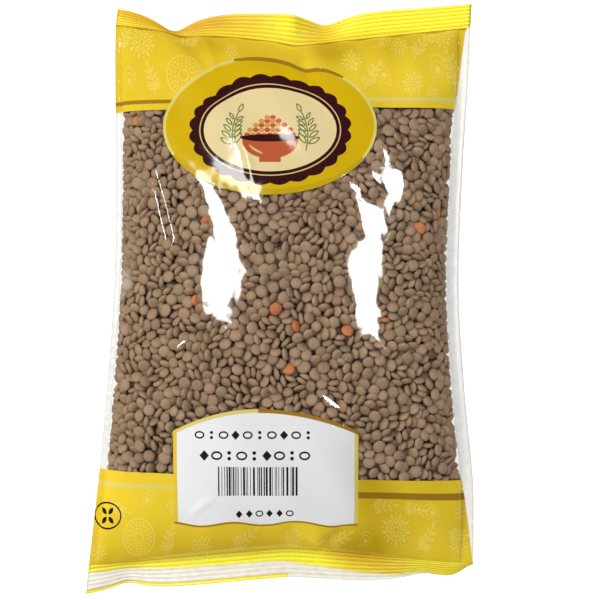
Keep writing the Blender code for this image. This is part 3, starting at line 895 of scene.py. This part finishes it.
def print_layers():
    """What is printed on the front, from the lowest ink to the highest: ink name and its shapes."""
    header_line = line_beside(header_edge, LINE_INSET, LINE_WIDTH)
    footer_line = line_beside(footer_edge, -FOOTER_LINE_INSET, LINE_WIDTH)
    wide_footer_line = line_beside(footer_edge, -FOOTER_LINE_INSET, FOOTER_LINE_WIDTH)
    # A brown band under the label's bottom edge: its painted shadow.
    label_shadow = line_beside(label_bottom, -0.0001, 0.0007)
    # A darker band just below the top seal: a painted shadow of the seal's fold.
    seal_shadow_low = lambda x: TOP_SEAL - 0.0009 - 0.0004 * np.sin(x * 400)
    line_work = ornament()
    upper = [
        ("yellow_ink", [[band(header_edge, level(0.2))]]),
        ("pale_ink", line_work),
        ("brown_line", [[band(*header_line, right=-0.003)]]),
        ("pale_line", [[band(*header_line, left=-0.003)]]),
        ("seal_shadow_ink", [[band(seal_shadow_low, level(TOP_SEAL + 0.0001))]]),
        ("pale_line", [[ellipse(OVAL_CENTRE, OVAL_HALF, 120)]]),
        ("oval_ink", [[ellipse(OVAL_CENTRE, np.subtract(OVAL_HALF, OVAL_RIM), 120)]]),
        ("olive_line", [arc_band(OVAL_CENTRE, OVAL_HALF, 0.0025, 205, 332)]),
        ("brown_line", [arc_band(OVAL_CENTRE, OVAL_HALF, 0.0019, 46, 110)]),
        ("maroon_ink", [[ellipse(MEDALLION_CENTRE, MEDALLION_HALF, 216, 24, 0.05)]]),
    ]
    for name, inset in (("sand_ink", 0.0029), ("maroon_ink", 0.0034), ("cream_ink", 0.0048)):
        upper.append((name, [[ellipse(MEDALLION_CENTRE, np.subtract(MEDALLION_HALF, inset), 100)]]))
    layers = [(name, [[pulled(loop) for loop in loops] for loops in shapes])
              for name, shapes in upper + bowl_picture()]
    layers += [
        ("yellow_ink", [[band(level(-0.2), footer_edge)]]),
        ("pale_ink", [loops for loops in line_work if loops[0][:, 1].max() < 0]),
        ("pale_line", [[band(*footer_line, right=-0.005)]]),
        ("brown_line", [[band(*wide_footer_line, left=-0.005)]]),
        ("pale_line", [[label_outline(0.0)]]),
        ("brown_line", [[band(lambda x: label_top(x) - LABEL_RIM, label_top, LABEL_MIDDLE, LABEL_RIGHT)]]),
        ("gold_line", [[band(label_bottom, label_top, LABEL_LEFT, LABEL_LEFT + LABEL_RIM)]]),
        # Painted shadow under the label's bottom edge.
        ("brown_line", [[band(*label_shadow, left=LABEL_LEFT, right=LABEL_RIGHT)]]),
        ("label_ink", [[label_outline(LABEL_RIM)]]),
        ("dark_ink", label_marks()),
    ]
    return layers + petal_sign()


def inside_loop(x, v, loop):
    """Even-odd test of many points against one closed outline."""
    inside = np.zeros(len(x), bool)
    for (x1, y1), (x2, y2) in zip(loop, np.roll(loop, -1, axis=0)):
        if y1 != y2:
            crosses = (v >= min(y1, y2)) & (v < max(y1, y2))
            inside ^= crosses & (x < x1 + (v - y1) * (x2 - x1) / (y2 - y1))
    return inside


def ink_of(x, v, layers, inks):
    """The number of the topmost ink at each point, 0 where the film is bare."""
    chosen = np.zeros(len(x), int)
    for ink_name, shapes in layers:
        for loops in shapes:
            points = np.concatenate(loops)
            low, high = points.min(axis=0), points.max(axis=0)
            near = np.flatnonzero((x > low[0]) & (x < high[0]) & (v > low[1]) & (v < high[1]))
            inside = np.zeros(len(near), bool)
            for loop in loops:
                inside ^= inside_loop(x[near], v[near], loop)
            chosen[near[inside]] = inks.index(ink_name)
    return chosen


def densified(loop, step):
    """The outline with points no further apart than step."""
    pieces = []
    for a, b in zip(loop, np.roll(loop, -1, axis=0)):
        count = max(1, math.ceil(np.hypot(*(b - a)) / step))
        pieces.append(a + (b - a) * (np.arange(count) / count)[:, None])
    return np.concatenate(pieces)


def cut_lines(layers):
    """All outlines as points of the flat film and the edges between them."""
    points, edges, first = [], [], 0
    for loop in (loop for _, shapes in layers for loops in shapes for loop in loops):
        line = densified(loop, PRINT_STEP)
        place = np.column_stack([film_place(line[:, 0], line[:, 1]), line[:, 1]])
        keep = (line[:, 1] < TOP_END) & (line[:, 1] > BOTTOM_END) & (np.abs(line[:, 0]) < 0.0999)
        keep &= np.abs(place[:, 0]) < FILM_HALF - RIM_GAP
        number = np.where(keep, first + np.cumsum(keep) - 1, -1)
        nxt = np.roll(number, -1)
        both = (number >= 0) & (nxt >= 0)
        edges += list(zip(number[both].tolist(), nxt[both].tolist()))
        points.append(place[keep])
        first += int(keep.sum())
    return np.concatenate(points), edges


# The film's mesh

def side_rows():
    return np.linspace(BOTTOM_SEAL, TOP_SEAL, 150)[1:-1]


def seal_points(step):
    top = np.linspace(TOP_SEAL, TOP_END, 46)
    bottom = np.linspace(BOTTOM_END, BOTTOM_SEAL, 40)
    columns = np.linspace(-FILM_HALF, FILM_HALF, round(2 * FILM_HALF / step) + 1)
    return np.array([(a, v) for v in np.concatenate([bottom, top]) for a in columns])


def body_points(step):
    rows = np.arange(BOTTOM_SEAL + step * 0.7, TOP_SEAL - step * 0.5, step)
    columns = np.arange(-FILM_HALF + step * 0.7, FILM_HALF - step * 0.5, step)
    a, v = np.meshgrid(columns, rows)
    a = a + (np.arange(len(rows)) % 2)[:, None] * step / 2
    keep = a.ravel() < FILM_HALF - step * 0.4
    return np.column_stack([a.ravel(), v.ravel()])[keep]


def bare_lip(v):
    """How wide the film is bare along the right side; the print reaches further out near the seals."""
    low = np.clip((v - BOTTOM_SEAL) / (FOOTER_EDGE - BOTTOM_SEAL), 0, 1)
    high = np.clip((TOP_SEAL - v) / (TOP_SEAL - HEADER_EDGE), 0, 1)
    return LIP_RIGHT * np.minimum(low, blend(0.4, 1.0, high))


def bare_lip_line():
    v = side_rows()
    return np.column_stack([FILM_HALF - bare_lip(v), v])


def chain(first, count):
    return [(i, i + 1) for i in range(first, first + count - 1)]


def side_points():
    """The rims and the lines where the lips begin."""
    places = [side * FILM_HALF * share for side in (-1, 1) for share in (1.0, float(filled(side)))]
    return np.array([(a, v) for a in places for v in side_rows()])


def crease_points():
    """Closer points over the creases, so that they stay smooth."""
    points = []
    for path, _, width in CREASES:
        for a, b in zip(path[:-1], path[1:]):
            way = np.subtract(b, a)
            length = math.hypot(*way)
            aside = np.array([-way[1], way[0]]) / length
            for along in np.arange(0, length, CREASE_STEP):
                for off in np.arange(-1.7 * width, 1.7 * width, CREASE_STEP):
                    points.append(np.add(a, way * along / length) + aside * off)
    points = np.array(points)
    points = points[(points[:, 1] < TOP_SEAL - RIM_GAP) & (points[:, 1] > BOTTOM_SEAL + RIM_GAP)]
    return np.column_stack([film_place(points[:, 0], points[:, 1]), points[:, 1]])


def film_sheet(points, edges, front):
    """The flat sheet's triangles, and the points of it wrapped to the front or the back."""
    loose = [Vector(p) for p in points.tolist()]
    flat, _, faces, _, _, _ = delaunay_2d_cdt(loose, edges, [], 0, 1e-7, False)
    flat = np.array([tuple(p) for p in flat])
    s = np.clip(flat[:, 0] / FILM_HALF, -1, 1)
    s = np.where(np.abs(s) > 1 - 1e-5, np.sign(s), s)
    return flat, np.array(faces), s, form(s, flat[:, 1], np.full(len(s), front))


def sheen_reach(a, v):
    """How far in from a side, in the flat film, bare film gets a whitish veil as painted sheen: an uneven
    strip and a fold.
    """
    strip = 0.0052 + 0.0012 * np.sin(v * 310) + 0.0010 * np.sin(v * 830 + 1)
    strip = strip + np.where(a < 0, 0.0022 * smooth((0.02 - v) / 0.03), -0.0010)
    fold = SHEEN_ACROSS * np.exp(-((v - SHEEN_FOLD) / SHEEN_ALONG) ** 2)
    return np.where(a < 0, np.maximum(strip, fold), strip)


def bare_inks(middle, slots, inks):
    """Inks that follow the film's own lines: the ribs of the seals with painted shade in their grooves, the
    side lips, and hazy film with a painted sheen.
    """
    a, v = middle[:, 0], middle[:, 1]
    share = seal_share(v)
    phase = (share * RIBS) % 1
    # The grooves between the crimp ribs get a darker ink: painted shade.
    seal = np.where((phase > 0.62) & (phase < 0.90), inks.index("rib_groove_shade_ink"), inks.index("seal_ink"))
    slots = np.where(share > 0, seal, slots)
    bare_from = 0.43 + np.where(a > 0, 7.5, 2.0) * a
    bare = (v < 0) & (share > bare_from) & ((share < 0.88) | (a > 0.004))
    slots = np.where(bare, inks.index("bare_seal"), slots)
    clear = slots == inks.index("clear_film")
    # Bare film near the sides and on a fold gets a whitish veil: painted sheen.
    sheen_veil = clear & (np.abs(a) > FILM_HALF - sheen_reach(a, v))
    slots = np.where(sheen_veil, inks.index("hazy_sheen_film"), slots)
    left_lip = clear & (a < -FILM_HALF * filled(a))
    lip = (share == 0) & (left_lip | (a > FILM_HALF - bare_lip(v)))
    return np.where(lip, inks.index("lip_film"), slots)


def lifted(place, s, v, seeds):
    """The front's points with its creases and its sag; over seeds it is hardly pressed in."""
    _, _, out = directions(s, v, np.full(len(s), True))
    fade = np.clip((filled(s) - np.abs(s)) / SIDE_FADE, 0, 1)
    fade *= np.clip((TOP_SEAL - v) / SEAL_FADE, 0, 1) * np.clip((v - BOTTOM_SEAL) / SEAL_FADE, 0, 1)
    lift = crease_height(place[:, 0], v) + SAG * sagging(place, seeds)
    filling_under = (v > FILL_BOTTOM) & (v < FILL_TOP)
    lift = np.where(filling_under, np.maximum(lift, -FILM_GAP / 2), lift)
    return place + out * (lift * fade)[:, None]


def film(layers, materials, seeds):
    """The whole film as one closed skin, each ink its own material slot."""
    inks = list(materials)
    cuts, edges = cut_lines(layers)
    lip = bare_lip_line()
    frame_points = [lip, seal_points(FILM_STEP * 1.6), side_points()]
    points = np.concatenate([cuts, *frame_points, body_points(FILM_STEP), crease_points()])
    flat, faces, s, place = film_sheet(points, edges + chain(len(cuts), len(lip)), True)
    v = flat[:, 1]
    place = lifted(place, s, v, seeds)
    middle = flat[faces].mean(axis=1)
    slots = ink_of(x_of_film(middle[:, 0], middle[:, 1]), middle[:, 1], layers, inks)
    slots = bare_inks(middle, slots, inks)
    back_points = np.concatenate([*frame_points, body_points(BACK_STEP)])
    back_flat, back_faces, _, back_place = film_sheet(back_points, chain(0, len(lip)), False)
    back_middle = back_flat[back_faces].mean(axis=1)
    ends = (back_middle[:, 1] > HEADER_EDGE) | (back_middle[:, 1] < FOOTER_EDGE)
    back_slots = bare_inks(back_middle, np.where(ends, inks.index("yellow_ink"), 0), inks)
    made = mesh_object("bag_film", np.concatenate([place, back_place]),
                       np.concatenate([faces, back_faces[:, ::-1] + len(place)]))
    for material in materials.values():
        made.data.materials.append(material)
    made.data.polygons.foreach_set("material_index", np.concatenate([slots, back_slots]).astype(np.int32))
    # The film's tone is painted shade and painted light of the print.
    set_tone(made, np.concatenate([painted_print_shading(place[:, 0], v), painted_print_shading(back_place[:, 0], back_flat[:, 1])]))
    weld(made.data)
    part_of_bag(made)


def painted_print_shading(x, v):
    """Painted shade and painted light of the print: 0 dark, 1 light, from the folds and the light that comes
    through.
    """
    tone = np.full(len(x), 0.55)
    for across_bag, along_bag, wide, high, change in PAINTED_LIGHT_AND_SHADE:
        tone += change * np.exp(-((x - across_bag) / wide) ** 2 - ((v - along_bag) / high) ** 2)
    return np.clip(tone, 0, 1)


def weld(mesh):
    work = bmesh.new()
    work.from_mesh(mesh)
    bmesh.ops.remove_doubles(work, verts=work.verts[:], dist=2e-6)
    work.to_mesh(mesh)
    work.free()


# Materials

def new_material(name):
    made = bpy.data.materials.new(name)
    made.use_nodes = True
    nodes = made.node_tree.nodes
    return made, nodes, made.node_tree.links, nodes["Principled BSDF"]


def node(nodes, kind, **settings):
    made = nodes.new(kind)
    for name, value in settings.items():
        setattr(made, name, value)
    return made


def set_inputs(made, values):
    for name, value in values.items():
        made.inputs[name].default_value = value


def noise(nodes, links, scale):
    where, grain = node(nodes, "ShaderNodeTexCoord"), node(nodes, "ShaderNodeTexNoise")
    set_inputs(grain, {"Scale": scale, "Detail": 3})
    links.new(where.outputs["Object"], grain.inputs["Vector"])
    return grain


def noise_bump(nodes, links, shader, scale, distance, strength):
    """Fine unevenness of the surface, from noise over the object's own space."""
    grain = noise(nodes, links, scale)
    bump = node(nodes, "ShaderNodeBump")
    set_inputs(bump, {"Strength": strength, "Distance": distance})
    links.new(grain.outputs["Fac"], bump.inputs["Height"])
    links.new(bump.outputs["Normal"], shader.inputs["Normal"])
    return grain


def two_tone(nodes, links, factor, low, high, start=0.35, stop=0.65):
    ramp = node(nodes, "ShaderNodeValToRGB")
    for place, position, colour in ((0, start, low), (1, stop, high)):
        ramp.color_ramp.elements[place].position = position
        ramp.color_ramp.elements[place].color = (*colour, 1)
    links.new(factor, ramp.inputs["Fac"])
    return ramp


def math_node(nodes, links, operation, first, *numbers):
    made = node(nodes, "ShaderNodeMath", operation=operation)
    links.new(first, made.inputs[0])
    for place, number in enumerate(numbers, 1):
        if isinstance(number, (int, float)):
            made.inputs[place].default_value = number
        else:
            links.new(number, made.inputs[place])
    return made.outputs["Value"]


def ink(name, low, high, scale, roughness):
    """Printed film: ink from a dark to a light tone, set by the painted shade and painted light in the film's
    tone, under a glossy skin.
    """
    made, nodes, links, shader = new_material(name)
    noise_bump(nodes, links, shader, 90.0, 0.0004, 0.25)
    cloud = noise(nodes, links, scale)
    # On the film this tone attribute holds painted shade and painted light.
    tone = node(nodes, "ShaderNodeAttribute", attribute_name="tone")
    factor = math_node(nodes, links, "MULTIPLY_ADD", cloud.outputs["Fac"], 0.5, tone.outputs["Fac"])
    ramp = two_tone(nodes, links, factor, low, high, 0.25, 1.0)
    links.new(ramp.outputs["Color"], shader.inputs["Base Color"])
    set_inputs(shader, {"Roughness": roughness, "Specular IOR Level": 0.4})
    return made


def clear_film():
    """Bare film: what is behind shows through, and it mirrors more the flatter it is seen."""
    made, nodes, links, shader = new_material("clear_film")
    noise_bump(nodes, links, shader, 60.0, 0.0003, 0.25)
    set_inputs(shader, {"Base Color": (1, 1, 1, 1), "Metallic": 1.0, "Roughness": 0.06})
    through = node(nodes, "ShaderNodeBsdfTransparent")
    facing = node(nodes, "ShaderNodeLayerWeight")
    set_inputs(facing, {"Blend": 0.5})
    steep = math_node(nodes, links, "POWER", facing.outputs["Facing"], 5.0)
    gloss = math_node(nodes, links, "MULTIPLY_ADD", steep, 0.90, 0.05)
    mix = node(nodes, "ShaderNodeMixShader")
    links.new(gloss, mix.inputs["Fac"])
    links.new(through.outputs["BSDF"], mix.inputs[1])
    links.new(shader.outputs["BSDF"], mix.inputs[2])
    links.new(mix.outputs["Shader"], nodes["Material Output"].inputs["Surface"])
    return made


def milky_film(name, colour, alpha, scale, distance):
    """Milky, partly clear, finely crinkled film: film lying double, and a whitish veil as painted sheen on
    bare film near the sides.
    """
    made, nodes, links, shader = new_material(name)
    grain = noise_bump(nodes, links, shader, scale, distance, 0.5)
    shade = two_tone(nodes, links, grain.outputs["Fac"], tuple(0.9 * c for c in colour), colour)
    links.new(shade.outputs["Color"], shader.inputs["Base Color"])
    set_inputs(shader, {"Roughness": 0.25, "Alpha": alpha})
    return made


def lentil_material(name, low, high):
    """Dry seed coat: matt, its tone different on each seed, with small mottles."""
    made, nodes, links, shader = new_material(name)
    grain = noise_bump(nodes, links, shader, 900.0, 0.00025, 0.5)
    tone = node(nodes, "ShaderNodeAttribute", attribute_name="tone")
    ramp = two_tone(nodes, links, tone.outputs["Fac"], low, high, 0.0, 1.0)
    mottle = node(nodes, "ShaderNodeMix", data_type="RGBA", blend_type="MULTIPLY")
    shade = two_tone(nodes, links, grain.outputs["Fac"], (0.80, 0.78, 0.76), (1.0, 1.0, 1.0))
    mottle.inputs["Factor"].default_value = 0.7
    links.new(ramp.outputs["Color"], mottle.inputs["A"])
    links.new(shade.outputs["Color"], mottle.inputs["B"])
    links.new(mottle.outputs["Result"], shader.inputs["Base Color"])
    set_inputs(shader, {"Roughness": 0.6, "Specular IOR Level": 0.3})
    return made


def inks():
    two_tones = (
        ("yellow_ink", (0.46, 0.30, 0.005), (0.78, 0.56, 0.030), 60.0),
        ("pale_ink", (0.56, 0.40, 0.05), (0.82, 0.64, 0.12), 60.0),
        ("pale_line", (0.50, 0.43, 0.07), (0.68, 0.58, 0.16), 60.0),
        ("brown_line", (0.25, 0.125, 0.006), (0.34, 0.18, 0.012), 60.0),
        ("olive_line", (0.40, 0.28, 0.004), (0.50, 0.34, 0.006), 60.0),
        ("gold_line", (0.62, 0.42, 0.020), (0.74, 0.52, 0.040), 60.0),
        ("oval_ink", (0.45, 0.33, 0.002), (0.62, 0.39, 0.002), 30.0),
        # The darker ink below the top seal is a painted shadow of its fold.
        ("seal_shadow_ink", (0.38, 0.17, 0.004), (0.56, 0.30, 0.006), 90.0),
        ("seal_ink", (0.76, 0.44, 0.003), (0.98, 0.95, 0.050), 60.0),
        # The darker ink in the rib grooves is painted shade.
        ("rib_groove_shade_ink", (0.56, 0.26, 0.003), (0.84, 0.62, 0.010), 60.0),
        ("maroon_ink", (0.028, 0.004, 0.005), (0.034, 0.005, 0.006), 40.0),
        ("sand_ink", (0.52, 0.38, 0.13), (0.62, 0.46, 0.17), 40.0),
        ("cream_ink", (0.62, 0.49, 0.24), (0.72, 0.58, 0.30), 30.0),
        ("green_ink", (0.10, 0.14, 0.03), (0.13, 0.17, 0.04), 40.0),
        ("red_ink", (0.38, 0.070, 0.026), (0.46, 0.095, 0.036), 40.0),
        ("brown_ink", (0.50, 0.22, 0.05), (0.58, 0.28, 0.07), 40.0),
        ("label_ink", (0.54, 0.54, 0.55), (0.80, 0.80, 0.81), 14.0),
        ("dark_ink", (0.012, 0.010, 0.010), (0.016, 0.012, 0.012), 40.0),
    )
    made = {"clear_film": clear_film(),
            # A whitish veil near the sides and on a fold: painted sheen of film seen at a slant.
            "hazy_sheen_film": milky_film("hazy_sheen_film", (0.76, 0.72, 0.66), 0.22, 420.0, 0.0006),
            "lip_film": milky_film("lip_film", (0.92, 0.92, 0.88), 0.50, 260.0, 0.0004),
            "bare_seal": milky_film("bare_seal", (0.94, 0.90, 0.80), 0.70, 300.0, 0.0006)}
    for name, low, high, scale in two_tones:
        roughness = 0.30 if name in ("seal_ink", "rib_groove_shade_ink") else 0.10
        made[name] = ink(name, low, high, scale, roughness)
    return made


# Stage, lights and camera

FRAME_WIDTH = 0.258
CAMERA_AIM = (0.0090, -0.0009, 0.0200)
CAMERA_HEIGHT = 0.95
GLARE = 22.0


def stage():
    bpy.ops.mesh.primitive_plane_add(size=6, location=(0, 0, 0))
    floor = bpy.context.object
    floor.name = "floor"
    made, _, _, shader = new_material("floor_white")
    set_inputs(shader, {"Base Color": (0.5, 0.5, 0.5, 1), "Roughness": 0.9, "Specular IOR Level": 0.0,
                        "Emission Color": (1, 1, 1, 1), "Emission Strength": 0.85})
    floor.data.materials.append(made)
    floor.visible_glossy = False


def softbox(name, place, aim, width, length, power):
    lamp = bpy.data.lights.new(name, "AREA")
    lamp.shape = "RECTANGLE"
    lamp.size, lamp.size_y = width, length
    lamp.energy = power
    made = bpy.data.objects.new(name, lamp)
    made.location = place
    way = Vector(aim) - Vector(place)
    made.rotation_euler = way.to_track_quat("-Z", "Y").to_euler()
    bpy.context.scene.collection.objects.link(made)
    return made


def sky():
    """Even white light, much weaker in what the gloss mirrors."""
    world = bpy.data.worlds.new("studio")
    world.use_nodes = True
    nodes, links = world.node_tree.nodes, world.node_tree.links
    even, mirrored = nodes["Background"], nodes.new("ShaderNodeBackground")
    set_inputs(even, {"Color": (1, 1, 1, 1), "Strength": 0.74})
    set_inputs(mirrored, {"Color": (1, 1, 1, 1), "Strength": 0.06})
    rays, mix = nodes.new("ShaderNodeLightPath"), nodes.new("ShaderNodeMixShader")
    links.new(rays.outputs["Is Glossy Ray"], mix.inputs["Fac"])
    links.new(even.outputs["Background"], mix.inputs[1])
    links.new(mirrored.outputs["Background"], mix.inputs[2])
    links.new(mix.outputs["Shader"], nodes["World Output"].inputs["Surface"])
    bpy.context.scene.world = world


def lights():
    sky()
    for name, x, y, width, length in (
        ("left_softbox", -0.37, 0.15, 0.24, 0.34),
        ("left_upper_softbox", -0.36, 0.45, 0.20, 0.30),
        ("right_softbox", 0.52, 0.03, 0.26, 0.24),
        ("right_middle_softbox", 0.62, 0.24, 0.40, 0.18),
        ("right_upper_softbox", 0.50, 0.40, 0.10, 0.12),
    ):
        made = softbox(name, (x, y, 1.20), (x, y, 0), width, length, GLARE * math.pi * width * length)
        made.visible_diffuse = False
    key = softbox("key_lamp", (-0.95, 0.55, 1.10), (0, 0, 0), 0.9, 0.9, 14.0)
    key.visible_glossy = False


def camera():
    lens_data = bpy.data.cameras.new("camera")
    made = bpy.data.objects.new("camera", lens_data)
    made.location = (CAMERA_AIM[0], CAMERA_AIM[1], CAMERA_AIM[2] + CAMERA_HEIGHT)
    lens_data.sensor_width = 36
    lens_data.lens = 36 * CAMERA_HEIGHT / FRAME_WIDTH
    bpy.context.scene.collection.objects.link(made)
    bpy.context.scene.camera = made


def main():
    bpy.context.scene.view_settings.view_transform = "Standard"
    seeds = lentils()
    core()
    film(print_layers(), inks(), seeds)
    stage()
    lights()
    camera()


main()
